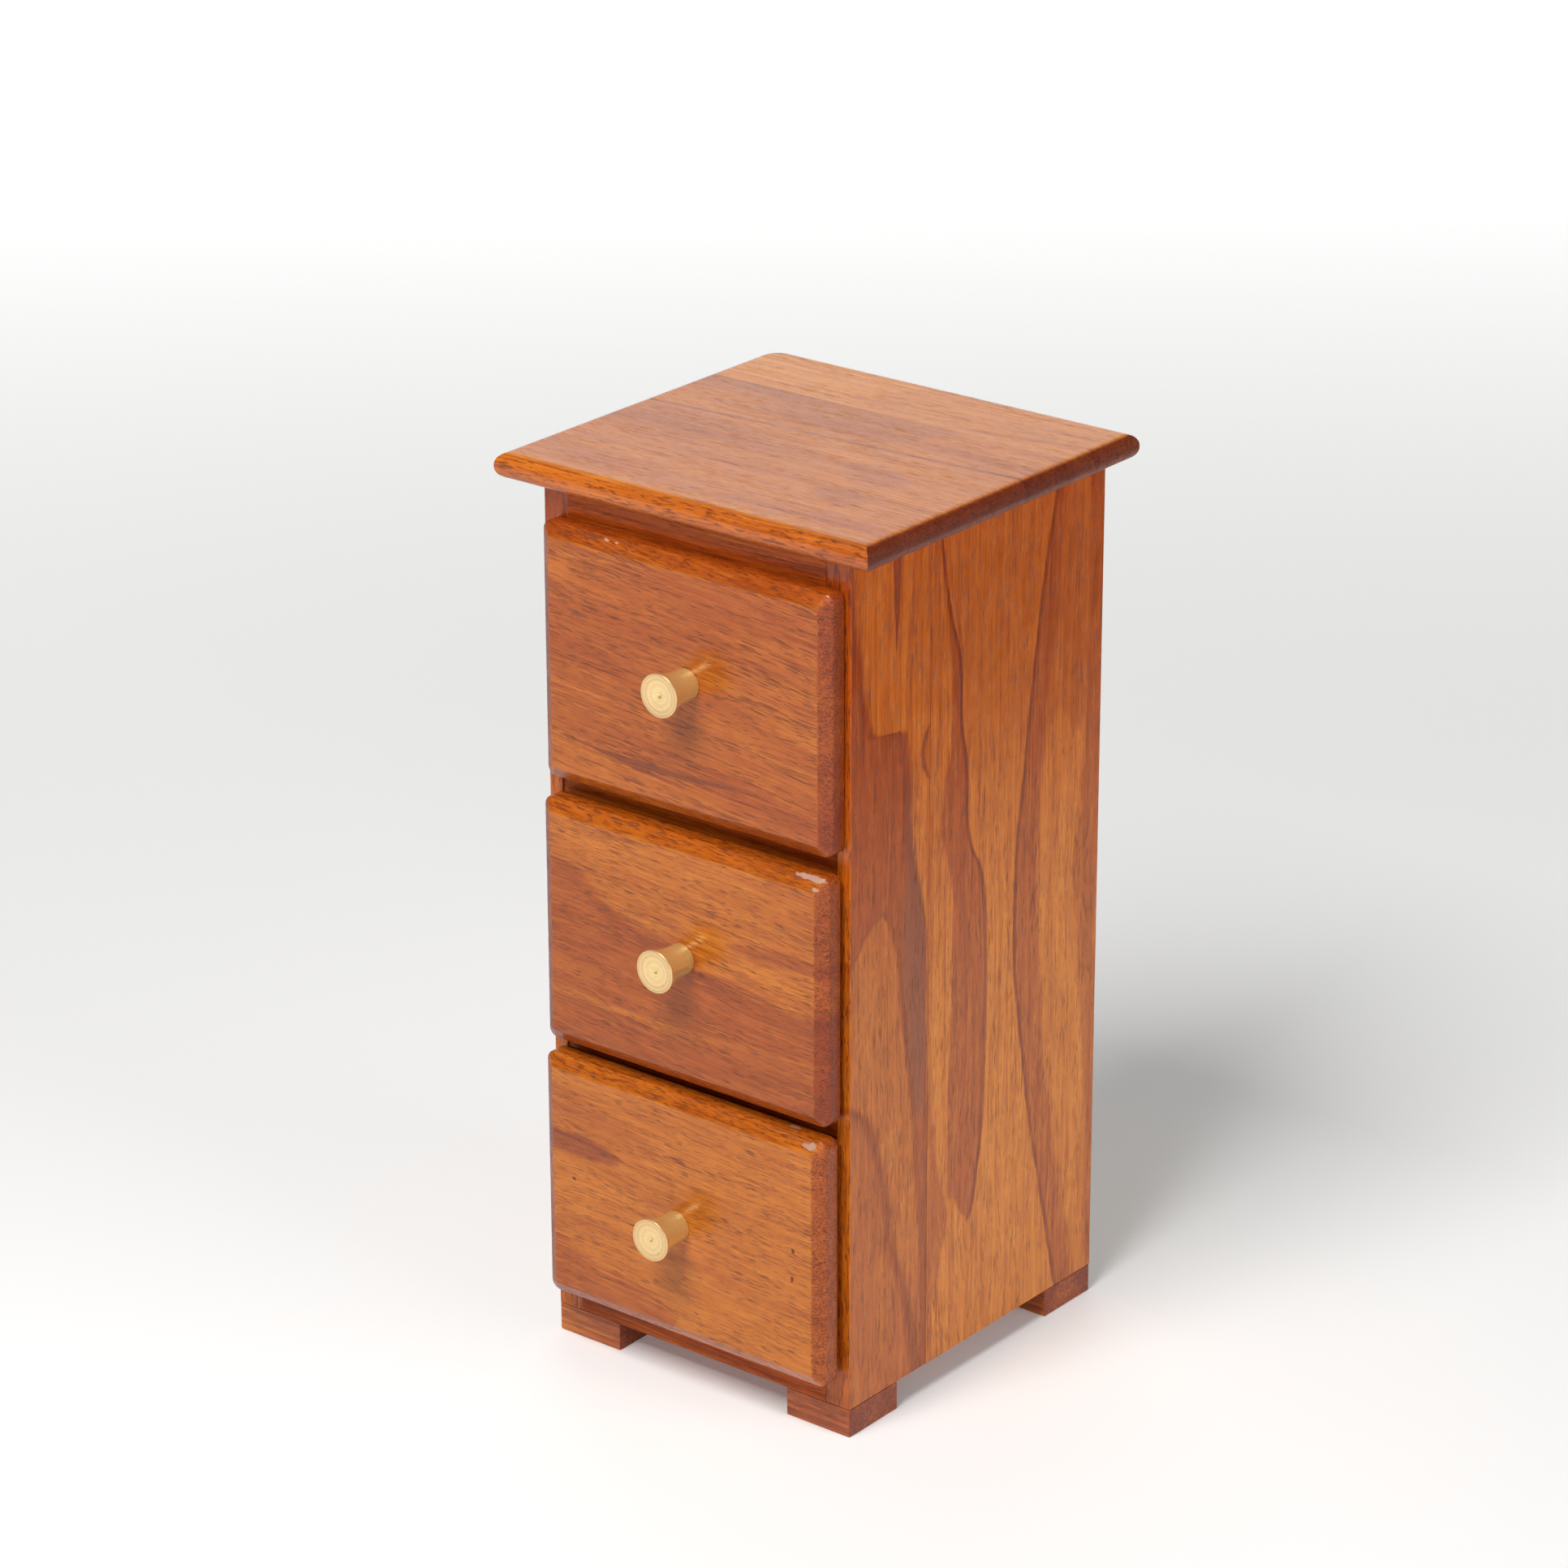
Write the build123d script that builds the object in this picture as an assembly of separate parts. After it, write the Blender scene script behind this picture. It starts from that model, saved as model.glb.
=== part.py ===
"""Miniature chest of three drawers, built as its real pieces: millimetres, +Z up, drawers opening along -Y.

The origin is the centre of the bounding box's footprint, on the surface that the feet stand on.
"""

from build123d import *
import os

# ---- carcase ----
CARCASE_WIDTH = 88.0
CARCASE_DEPTH = 95.0
CARCASE_HEIGHT = 208.3
SIDE_THICKNESS = 7.0
SIDE_SEAM = 29.0            # front edge of a side to the glue line between its two boards
END_BOARD_THICKNESS = 8.5   # the boards under the top slab and over the feet
SHELF_THICKNESS = 7.0
HOUSING_DEPTH = 3.2         # how far a shelf's end is let into a side
SHELF_SETBACK = 0.6         # shelf's front edge behind the sides' front edges
BACK_THICKNESS = 3.0
BACK_REBATE = 3.5           # width of the step in each side that the back panel lies in

# ---- feet ----
FOOT_HEIGHT = 7.2
FOOT_WIDTH = 18.6
FOOT_DEPTH = 18.2

# ---- top slab ----
SLAB_THICKNESS = 6.2
SLAB_SIDE_OVERHANG = 9.4
SLAB_FRONT_OVERHANG = 6.4
SLAB_EDGE_RADIUS = 2.9      # nearly half the thickness, so the edge reads as a half round
SLAB_WORN_CORNER = 5.5      # the rear left corner is rounded more than the others
SLAB_SEAM = 25.0            # back edge of the slab to the glue line between its two boards

# ---- drawers ----
FRONT_WIDTH = 83.2
FRONT_OFFSET = 0.9          # the fronts sit a little to the right of the middle
FRONT_EDGE = 4.0            # straight part of a front's edge, from its back
FRONT_THICKNESS = 6.1
BEVEL_INSET = 3.0           # bevel's width, measured on the face of the front
FRONT_CORNER = 2.4
FACE_CORNER = 0.4
BOX_LENGTH = 88.0
BOX_WALL = 4.0
BOX_SIDE_GAP = 0.4          # each side of a box to the carcase
BOX_UNDER_GAP = 0.2
BOX_OVER_GAP = 0.9
BOX_BOTTOM_THICKNESS = 3.0
BOX_BOTTOM_RAISE = 2.5      # underside of the sides to the underside of the bottom
GROOVE_DEPTH = 1.5

# ---- knobs and fixings ----
KNOB_LENGTH = 9.6
KNOB_BASE_RADIUS = 3.75
KNOB_HEAD_RADIUS = 5.2
KNOB_COLLAR = 1.5           # straight length next to the wood, before the flare begins
KNOB_RIM = 0.4
KNOB_DISH = 0.4             # how far the face falls from its rim to the dimple
KNOB_DIMPLE_RADIUS = 0.9
KNOB_DIMPLE_DEPTH = 0.35
KNOB_HOLE_DEPTH = 6.4
SCREW_RADIUS = 1.5
SCREW_LENGTH = 16.0
SCREW_HOLE_RADIUS = 1.6
SCREW_HEAD_RADIUS = 2.8
SCREW_HEAD_HEIGHT = 1.9
SCREW_SLOT_WIDTH = 0.8
SCREW_SLOT_DEPTH = 0.8
PIN_RADIUS = 0.55
PIN_LENGTH = 10.0
PIN_HEAD_RADIUS = 1.0
PIN_HEAD_HEIGHT = 0.5

# One row for each drawer: heights of its front above the floor, how far it stands open at rest,
# and where its knob sits from the middle of the front, across and up.
DRAWERS = {
    "drawer_top": {"low": 146.1, "high": 208.2, "open": 0.3, "knob": (1.5, 1.8)},
    "drawer_middle": {"low": 80.6, "high": 141.6, "open": 1.6, "knob": (0.4, 1.2)},
    "drawer_bottom": {"low": 15.0, "high": 77.5, "open": 2.6, "knob": (-1.1, -1.7)},
}

# ---- worked out ----
HALF_WIDTH = CARCASE_WIDTH / 2
INNER_HALF = HALF_WIDTH - SIDE_THICKNESS
CARCASE_TOP = FOOT_HEIGHT + CARCASE_HEIGHT
INNER_BOTTOM = FOOT_HEIGHT + END_BOARD_THICKNESS
INNER_TOP = CARCASE_TOP - END_BOARD_THICKNESS
WIDEST_OPEN = max(drawer["open"] for drawer in DRAWERS.values())
KNOB_REACH = WIDEST_OPEN + FRONT_THICKNESS + KNOB_LENGTH
FRONT_Y = (KNOB_REACH - CARCASE_DEPTH) / 2      # plane of the carcase's front edges
BACK_Y = FRONT_Y + CARCASE_DEPTH
INNER_BACK_Y = BACK_Y - BACK_THICKNESS
BOX_HALF = INNER_HALF - BOX_SIDE_GAP


def block(x, y, z):
    """A rectangular solid between two limits on each axis."""
    size = [high - low for low, high in (x, y, z)]
    middle = [(high + low) / 2 for low, high in (x, y, z)]
    return Pos(*middle) * Box(*size)


def rod(start, direction, radius, length):
    """A cylinder from a point along a direction."""
    return Plane(origin=start, z_dir=direction) * Cylinder(
        radius, length, align=(Align.CENTER, Align.CENTER, Align.MIN)
    )


def middle_of_gap(upper, lower):
    """Height half way between two neighbouring drawer fronts."""
    return (DRAWERS[upper]["low"] + DRAWERS[lower]["high"]) / 2


SHELVES = {
    "shelf_upper": middle_of_gap("drawer_top", "drawer_middle"),
    "shelf_lower": middle_of_gap("drawer_middle", "drawer_bottom"),
}


def shelf_span(name):
    """Underside and top face of a shelf."""
    return (SHELVES[name] - SHELF_THICKNESS / 2, SHELVES[name] + SHELF_THICKNESS / 2)


# Floor and ceiling of the compartment that each drawer runs in.
COMPARTMENTS = {
    "drawer_top": (shelf_span("shelf_upper")[1], INNER_TOP),
    "drawer_middle": (shelf_span("shelf_lower")[1], shelf_span("shelf_upper")[0]),
    "drawer_bottom": (INNER_BOTTOM, shelf_span("shelf_lower")[0]),
}


# ---- top slab ----

def slab_boards():
    """The half-round edged top with mitred corners, cut along its glue line into a front and a rear board."""
    x = HALF_WIDTH + SLAB_SIDE_OVERHANG
    y = (FRONT_Y - SLAB_FRONT_OVERHANG, BACK_Y)
    z = (CARCASE_TOP, CARCASE_TOP + SLAB_THICKNESS)
    slab = block((-x, x), y, z)
    worn = slab.edges().filter_by(Axis.Z).sort_by(Axis.X)[:2].sort_by(Axis.Y)[-1]
    slab = fillet(worn, SLAB_WORN_CORNER)
    slab = fillet(slab.faces().filter_by(Axis.Z).edges(), SLAB_EDGE_RADIUS)
    seam = BACK_Y - SLAB_SEAM
    return {
        "slab_front_board": slab & block((-x, x), (y[0], seam), z),
        "slab_rear_board": slab & block((-x, x), (seam, y[1]), z),
    }


# ---- carcase ----

def side_boards(side, sign):
    """One side of the carcase: a front and a rear board, housed for the shelves and rebated for the back."""
    z = (FOOT_HEIGHT, CARCASE_TOP)
    inner, outer = sign * INNER_HALF, sign * HALF_WIDTH
    panel = block(sorted((inner, outer)), (FRONT_Y, BACK_Y), z)
    for shelf in SHELVES:
        housing = sorted((inner, inner + sign * HOUSING_DEPTH))
        panel -= block(housing, (FRONT_Y, INNER_BACK_Y), shelf_span(shelf))
    rebate = sorted((inner, inner + sign * BACK_REBATE))
    panel -= block(rebate, (INNER_BACK_Y, BACK_Y), z)
    panel = drilled(panel)
    seam = FRONT_Y + SIDE_SEAM
    return {
        f"side_{side}_front_board": panel & block(sorted((inner, outer)), (FRONT_Y, seam), z),
        f"side_{side}_rear_board": panel & block(sorted((inner, outer)), (seam, BACK_Y), z),
    }


def drilled(board):
    """A carcase board with the back panel's pin holes in it."""
    for hole in back_pins():
        board -= hole
    return board


def end_boards():
    """The boards that close the carcase at the top and the bottom, between the sides."""
    x = (-INNER_HALF, INNER_HALF)
    y = (FRONT_Y, INNER_BACK_Y)
    return {
        "top_board": drilled(block(x, y, (INNER_TOP, CARCASE_TOP))),
        "bottom_board": drilled(block(x, y, (FOOT_HEIGHT, INNER_BOTTOM))),
    }


def shelf(name):
    """A shelf between two drawers, with its ends let into the sides."""
    x = INNER_HALF + HOUSING_DEPTH
    return drilled(block((-x, x), (FRONT_Y + SHELF_SETBACK, INNER_BACK_Y), shelf_span(name)))


def back_panel():
    """The thin back, lying in the sides' rebates."""
    x = INNER_HALF + BACK_REBATE
    return drilled(block((-x, x), (INNER_BACK_Y, BACK_Y), (FOOT_HEIGHT, CARCASE_TOP)))


def back_pin_points():
    """Where the pins go in on the back: along every board that crosses it, and down each side."""
    rows = [
        (FOOT_HEIGHT + INNER_BOTTOM) / 2,
        SHELVES["shelf_lower"],
        SHELVES["shelf_upper"],
        (INNER_TOP + CARCASE_TOP) / 2,
    ]
    points = [(x, z) for z in rows for x in (-INNER_HALF / 2, INNER_HALF / 2)]
    column = INNER_HALF + BACK_REBATE / 2
    heights = [(low + high) / 2 for low, high in COMPARTMENTS.values()]
    points += [(x, z) for z in heights for x in (-column, column)]
    return points


def pin(point, direction):
    """A panel pin whose head is sunk flush, entering at a point along a direction."""
    shank = rod(point, direction, PIN_RADIUS, PIN_LENGTH)
    return shank + rod(point, direction, PIN_HEAD_RADIUS, PIN_HEAD_HEIGHT)


def back_pins():
    """All the pins that hold the back panel; their holes are cut with the same solids."""
    return [pin((x, BACK_Y, z), (0, -1, 0)) for x, z in back_pin_points()]


def feet():
    """Four blocks under the carcase's corners, flush with its outside."""
    z = (0, FOOT_HEIGHT)
    across = {"left": (-HALF_WIDTH, FOOT_WIDTH - HALF_WIDTH), "right": (HALF_WIDTH - FOOT_WIDTH, HALF_WIDTH)}
    along = {"front": (FRONT_Y, FRONT_Y + FOOT_DEPTH), "rear": (BACK_Y - FOOT_DEPTH, BACK_Y)}
    return {f"foot_{end}_{side}": block(x, y, z) for side, x in across.items() for end, y in along.items()}


# ---- drawers ----

def knob_point(name):
    """Where a knob's axis meets the face of its drawer front."""
    drawer = DRAWERS[name]
    x = FRONT_OFFSET + drawer["knob"][0]
    z = (drawer["low"] + drawer["high"]) / 2 + drawer["knob"][1]
    return (x, FRONT_Y - drawer["open"] - FRONT_THICKNESS, z)


def screw_hole(name):
    """The clearance hole through a front and the box behind it."""
    x, y, z = knob_point(name)
    return rod((x, y, z), (0, 1, 0), SCREW_HOLE_RADIUS, FRONT_THICKNESS + BOX_WALL)


def drawer_front(name):
    """A front with a straight edge, four bevels and eased corners."""
    drawer = DRAWERS[name]
    height = drawer["high"] - drawer["low"]
    centre = (FRONT_OFFSET, FRONT_Y - drawer["open"], (drawer["high"] + drawer["low"]) / 2)
    back = Plane(origin=centre, x_dir=(1, 0, 0), z_dir=(0, -1, 0))
    outline = RectangleRounded(FRONT_WIDTH, height, FRONT_CORNER)
    face = RectangleRounded(FRONT_WIDTH - 2 * BEVEL_INSET, height - 2 * BEVEL_INSET, FACE_CORNER)
    body = extrude(back * outline, FRONT_EDGE)
    bevels = loft([back.offset(FRONT_EDGE) * outline, back.offset(FRONT_THICKNESS) * face], ruled=True)
    return body + bevels - screw_hole(name)


def box_limits(name):
    """Limits of a drawer box: its two ends along Y, and its underside and top edge."""
    floor, ceiling = COMPARTMENTS[name]
    start = FRONT_Y - DRAWERS[name]["open"]
    return (start, start + BOX_LENGTH), (floor + BOX_UNDER_GAP, ceiling - BOX_OVER_GAP)


def drawer_bottom_panel(name):
    """The thin bottom, held in grooves in the sides and the box front."""
    (start, end), (low, _) = box_limits(name)
    x = BOX_HALF - BOX_WALL + GROOVE_DEPTH
    y = (start + BOX_WALL - GROOVE_DEPTH, end)
    z = low + BOX_BOTTOM_RAISE
    return block((-x, x), y, (z, z + BOX_BOTTOM_THICKNESS))


def box_pin_points(name):
    """Where the pins enter the box sides: two at each corner."""
    (start, end), (low, high) = box_limits(name)
    heights = (low + 0.35 * (high - low), low + 0.8 * (high - low))
    depths = (start + BOX_WALL / 2, end - BOX_WALL / 2)
    return [(sign, y, z) for sign in (-1, 1) for y in depths for z in heights]


def box_pins(name):
    """The pins that hold a drawer box together, driven in through its sides."""
    return [pin((sign * BOX_HALF, y, z), (-sign, 0, 0)) for sign, y, z in box_pin_points(name)]


def knob(name):
    """A turned knob: short collar, concave flare, narrow rim and a dimpled face."""
    dimple_rim = KNOB_LENGTH - KNOB_DISH
    flare_start = (KNOB_BASE_RADIUS, KNOB_COLLAR)
    flare_end = (KNOB_HEAD_RADIUS, KNOB_LENGTH - KNOB_RIM)
    with BuildSketch() as profile:
        with BuildLine():
            Polyline((0, dimple_rim - KNOB_DIMPLE_DEPTH), (0, 0), (KNOB_BASE_RADIUS, 0), flare_start)
            TangentArc(flare_start, flare_end, tangent=(0, 1))
            Polyline(
                flare_end,
                (KNOB_HEAD_RADIUS - KNOB_RIM / 2, KNOB_LENGTH),
                (KNOB_DIMPLE_RADIUS, dimple_rim),
                (0, dimple_rim - KNOB_DIMPLE_DEPTH),
            )
        make_face()
    turned = revolve(profile.sketch, Axis.Y)
    turned -= rod((0, 0, 0), (0, 1, 0), SCREW_RADIUS, KNOB_HOLE_DEPTH)
    x, y, z = knob_point(name)
    return Pos(x, y, z) * Rot(0, 0, 180) * turned


def knob_screw(name):
    """A slotted pan-head machine screw from inside the box into the knob."""
    x, y, z = knob_point(name)
    seat = (x, y + FRONT_THICKNESS + BOX_WALL, z)
    head = rod(seat, (0, 1, 0), SCREW_HEAD_RADIUS, SCREW_HEAD_HEIGHT)
    rim = head.edges().filter_by(GeomType.CIRCLE).sort_by(Axis.Y)[-1]
    head = fillet(rim, SCREW_HEAD_HEIGHT / 2)
    top = seat[1] + SCREW_HEAD_HEIGHT
    reach = SCREW_HEAD_RADIUS + 1
    slot_z = (z - SCREW_SLOT_WIDTH / 2, z + SCREW_SLOT_WIDTH / 2)
    slot = block((x - reach, x + reach), (top - SCREW_SLOT_DEPTH, top), slot_z)
    return head + rod(seat, (0, -1, 0), SCREW_RADIUS, SCREW_LENGTH) - slot


def drawer_pieces(name):
    """Every piece of one drawer, keyed by node name."""
    (start, end), (low, high) = box_limits(name)
    bottom = drawer_bottom_panel(name)
    pins = box_pins(name)
    inner = BOX_HALF - BOX_WALL
    walls = {
        "side_left": block((-BOX_HALF, -inner), (start, end), (low, high)),
        "side_right": block((inner, BOX_HALF), (start, end), (low, high)),
        "box_front": block((-inner, inner), (start, start + BOX_WALL), (low, high)) - screw_hole(name),
        "box_back": block((-inner, inner), (end - BOX_WALL, end), (low, high))
        - block((-inner, inner), (end - BOX_WALL, end), (low, low + BOX_BOTTOM_RAISE)),
    }
    for wall in walls:
        walls[wall] -= bottom
        for fixing in pins:
            walls[wall] -= fixing
    pieces = {f"{name}_{wall}": solid for wall, solid in walls.items()}
    pieces[f"{name}_front"] = drawer_front(name)
    pieces[f"{name}_bottom_panel"] = bottom
    pieces[f"{name}_knob"] = knob(name)
    pieces[f"{name}_knob_screw"] = knob_screw(name)
    pieces[f"{name}_box_pins"] = Compound(pins)
    return pieces


def all_pieces():
    """Every node of the chest, keyed by its name."""
    pieces = {}
    pieces.update(slab_boards())
    pieces.update(side_boards("left", -1))
    pieces.update(side_boards("right", 1))
    pieces.update(end_boards())
    pieces.update({name: shelf(name) for name in SHELVES})
    pieces["back_panel"] = back_panel()
    pieces["back_panel_pins"] = Compound(back_pins())
    pieces.update(feet())
    for name in DRAWERS:
        pieces.update(drawer_pieces(name))
    return pieces


os.makedirs("parts", exist_ok=True)
for node, shape in all_pieces().items():
    export_step(shape, f"parts/{node}.step")
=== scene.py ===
"""Looks for a miniature chest of three drawers: lacquered wood, turned brass knobs and small steel fixings.

Lengths are in millimetres and become metres where Blender takes them, unless a comment says otherwise.
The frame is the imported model's: +Z up, the drawers open along -Y, +X to the right.
"""

import math

import bpy
from mathutils import Matrix, Vector, noise


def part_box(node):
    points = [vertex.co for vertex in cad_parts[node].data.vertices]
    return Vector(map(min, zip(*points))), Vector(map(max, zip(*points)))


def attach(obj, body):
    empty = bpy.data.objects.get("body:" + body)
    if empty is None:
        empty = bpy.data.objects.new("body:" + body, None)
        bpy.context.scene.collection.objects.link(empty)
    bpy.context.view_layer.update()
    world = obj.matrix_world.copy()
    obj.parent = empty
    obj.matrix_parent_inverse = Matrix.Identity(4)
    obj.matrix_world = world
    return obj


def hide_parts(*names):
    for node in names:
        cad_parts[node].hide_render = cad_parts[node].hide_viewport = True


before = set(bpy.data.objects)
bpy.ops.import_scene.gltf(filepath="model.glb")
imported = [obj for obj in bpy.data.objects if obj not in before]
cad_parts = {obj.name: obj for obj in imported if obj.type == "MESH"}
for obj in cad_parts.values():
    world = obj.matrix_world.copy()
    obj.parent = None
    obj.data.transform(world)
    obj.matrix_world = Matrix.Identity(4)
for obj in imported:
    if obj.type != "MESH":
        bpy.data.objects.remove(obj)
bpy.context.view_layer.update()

MM = 0.001
DRAWERS = ("drawer_top", "drawer_middle", "drawer_bottom")


# ---------------------------------------------------------------- nodes

class Graph:
    """One material's nodes, with short calls so that a formula reads as a formula."""

    def __init__(self, name):
        self.material = bpy.data.materials.new(name)
        self.material.use_nodes = True
        self.tree = self.material.node_tree
        self.tree.nodes.clear()

    def feed(self, socket, value):
        """Link an output to a socket, or set the socket's value."""
        if isinstance(value, bpy.types.NodeSocket):
            self.tree.links.new(value, socket)
        else:
            socket.default_value = value

    def add(self, kind, inputs=None, **settings):
        """A node with its settings and inputs; inputs are keyed by socket name or index."""
        node = self.tree.nodes.new("ShaderNode" + kind)
        for key, value in settings.items():
            setattr(node, key, value)
        for socket, value in (inputs or {}).items():
            self.feed(node.inputs[socket], value)
        return node

    def math(self, operation, *values):
        return self.add("Math", dict(enumerate(values)), operation=operation).outputs[0]

    def smooth(self, value, low, high, start=0.0, end=1.0):
        """A soft step from start, at low, to end, at high."""
        inputs = {"Value": value, "From Min": low, "From Max": high, "To Min": start, "To Max": end}
        return self.add("MapRange", inputs, interpolation_type="SMOOTHSTEP").outputs["Result"]

    def mix(self, amount, first, second, blend="MIX"):
        """Two colours mixed; sockets 6 and 7 are a Mix node's colours, and 2 is its colour result."""
        node = self.add("Mix", {0: amount, 6: first, 7: second}, data_type="RGBA", blend_type=blend)
        return node.outputs[2]

    def lerp(self, amount, first, second):
        """Two numbers mixed."""
        return self.add("Mix", {0: amount, 2: first, 3: second}, data_type="FLOAT").outputs[0]

    def vector(self, x, y, z):
        return self.add("CombineXYZ", {0: x, 1: y, 2: z}).outputs[0]

    def scaled(self, point, factor):
        return self.add("VectorMath", {0: point, "Scale": factor}, operation="SCALE").outputs[0]

    def noise(self, point, detail=2.0, roughness=0.5):
        inputs = {"Vector": point, "Scale": 1.0, "Detail": detail, "Roughness": roughness}
        return self.add("TexNoise", inputs).outputs["Fac"]

    def sway(self, value, gain, start):
        """start plus gain times how far a noise value is from its middle."""
        return self.math("MULTIPLY_ADD", self.math("SUBTRACT", value, 0.5), gain, start)

    def tinted(self, colour, tint):
        """A colour multiplied by a constant one."""
        return self.mix(1.0, colour, (*tint, 1.0), "MULTIPLY")

    def ramp(self, value, places, colours):
        """A colour ramp through the colours, each at its place from 0 to 1."""
        node = self.add("ValToRGB", {0: value})
        elements = node.color_ramp.elements
        while len(elements) < len(colours):
            elements.new(0.5)
        for element, place, colour in zip(elements, places, colours):
            element.position = place
            element.color = (*colour, 1.0)
        return node.outputs["Color"]

    def curve(self, value, points):
        """A smooth line through (0 to 1, 0 to 1) points."""
        node = self.add("FloatCurve", {"Value": value})
        line = node.mapping.curves[0]
        line.points[0].location = points[0]
        line.points[1].location = points[-1]
        for point in points[1:-1]:
            line.points.new(*point)
        node.mapping.update()
        return node.outputs[0]

    def surface(self, inputs):
        """Close the graph with a Principled surface."""
        shader = self.add("BsdfPrincipled", inputs)
        self.add("OutputMaterial", {"Surface": shader.outputs[0]})
        return self.material


# ---------------------------------------------------------------- wood

# Two kinds of wood meet in every board: pale outer wood and red-brown heart, each dark, middle and light.
PALE = ((0.39, 0.088, 0.007), (0.54, 0.152, 0.013), (0.66, 0.222, 0.028))
HEART = ((0.21, 0.034, 0.004), (0.34, 0.063, 0.007), (0.45, 0.105, 0.013))
SHADE_PLACES = (0.1, 0.5, 0.9)
DUSK = (0.24, 0.066, 0.026, 1.0)        # grey-purple heart, where a stretch of figure asks for it
PORE = (0.12, 0.022, 0.004, 1.0)
PAINTED_SHADE_TINT = (0.84, 0.60, 0.40)              # painted shade: tint of the sides high up, under the slab
EDGE_TINT = (0.93, 0.76, 0.55)          # tint of edges and bevels
END_TINT = (0.80, 0.70, 0.95)           # tint of end grain
BARE = (0.46, 0.25, 0.17)               # wood under chipped lacquer
DARK_MARK = (0.17, 0.032, 0.008)        # a small knot
RIM_WIDTH = 0.9                         # of the dark line inside a stretch of figure, in millimetres
MARK_ROUGHNESS = 0.6

# Unlacquered wood of the drawer boxes and the back.
BOX_WOOD = ((0.42, 0.22, 0.09), (0.60, 0.37, 0.18), (0.72, 0.49, 0.27))
BOX_PORE = (0.22, 0.11, 0.05, 1.0)
BOX_END = (0.34, 0.20, 0.10, 1.0)


class Board:
    """Coordinates of a board: along its grain, across its face and through it, in millimetres."""

    def __init__(self, graph, grain, across, seed, tilt=0.0):
        self.graph = graph
        self.grain = grain
        self.seed = seed
        place = graph.add("TexCoord").outputs["Object"]
        parts = graph.add("SeparateXYZ", {0: place}).outputs
        self.thin = next(axis for axis in "XYZ" if axis not in (grain, across))
        axes = (graph.math("MULTIPLY", parts[axis], 1000.0) for axis in (grain, across, self.thin))
        self.along, self.level, self.through = axes
        self.across = graph.math("MULTIPLY_ADD", self.along, tilt, self.level)
        wander = graph.noise(self.stretched(60.0, 26.0), detail=1.0)
        self.across = graph.sway(wander, 4.0, self.across)

    def stretched(self, length, width, shift=0.0):
        """A noise point whose features are so long along the grain and so wide across it."""
        graph = self.graph
        along = graph.math("MULTIPLY_ADD", self.along, 1 / length, self.seed + shift)
        across = graph.math("MULTIPLY_ADD", self.across, 1 / width, self.seed * 0.7)
        return graph.vector(along, across, graph.math("MULTIPLY", self.through, 1 / width))

    def facing(self, axis):
        """How squarely the surface faces along an axis, 0 to 1."""
        normal = self.graph.add("TexCoord").outputs["Normal"]
        return self.graph.math("ABSOLUTE", self.graph.add("SeparateXYZ", {0: normal}).outputs[axis])

    def end_grain(self):
        """1 where the surface faces along the grain and 0 on the board's long faces."""
        return self.graph.smooth(self.facing(self.grain), 0.25, 0.60)

    def off_face(self):
        """1 on the board's edges, bevels and rounds, and 0 on its broad faces."""
        return self.graph.smooth(self.facing(self.thin), 0.80, 0.97, 1.0, 0.0)


class Grain:
    """The noises that one board's colour, relief and gloss share."""

    def __init__(self, graph, board):
        self.broad = graph.noise(board.stretched(95.0, 11.0), detail=2.0)
        self.medium = graph.noise(board.stretched(48.0, 2.0, 5.0), detail=3.0, roughness=0.6)
        self.lines = graph.noise(board.stretched(80.0, 0.85, 7.0), detail=2.0, roughness=0.6)
        self.fine = graph.noise(board.stretched(15.0, 0.38, 9.0), detail=2.0)
        self.mottle = graph.noise(board.stretched(6.0, 3.0, 2.0), detail=3.0)
        self.ragged = graph.sway(graph.noise(board.stretched(9.0, 0.6, 3.0), detail=3.0), 1.6, 0.0)
        pore = graph.noise(board.stretched(4.0, 0.24, 13.0), detail=1.0)
        crowd = graph.noise(board.stretched(26.0, 2.6, 17.0), detail=1.0)
        threshold = graph.math("MULTIPLY_ADD", crowd, -0.32, 0.742)
        self.pit = graph.smooth(graph.math("SUBTRACT", pore, threshold), 0.0, 0.06)


def outline(graph, board, limits, points):
    """The across coordinate of a drawn line, at every place along the board."""
    (low_along, high_along), (low_across, high_across) = limits
    inputs = {"Value": board.along, "From Min": low_along, "From Max": high_along}
    ratio = graph.add("MapRange", inputs).outputs[0]
    scaled = [
        ((along - low_along) / (high_along - low_along), (across - low_across) / (high_across - low_across))
        for along, across in sorted(points)
    ]
    return graph.math("MULTIPLY_ADD", graph.curve(ratio, scaled), high_across - low_across, low_across)


def band(graph, board, grain, part):
    """Masks of a stretch of figure between two drawn lines, and of the dark rims inside its edges."""
    mask, rim = 1.0, 0.0
    for points, sign, soft, dark in zip(part["edges"], (1.0, -1.0), part["soft"], part["rim"]):
        place = graph.math("MULTIPLY_ADD", grain.ragged, soft, board.level)
        inside = graph.math("SUBTRACT", place, outline(graph, board, part["limits"], points))
        gap = graph.math("MULTIPLY", inside, sign)
        mask = graph.math("MULTIPLY", graph.smooth(gap, -soft / 2, soft / 2), mask)
        if dark:
            rim = graph.math("MAXIMUM", graph.smooth(gap, soft / 2, soft + RIM_WIDTH, dark, 0.0), rim)
    return mask, graph.math("MULTIPLY", rim, mask)


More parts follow.
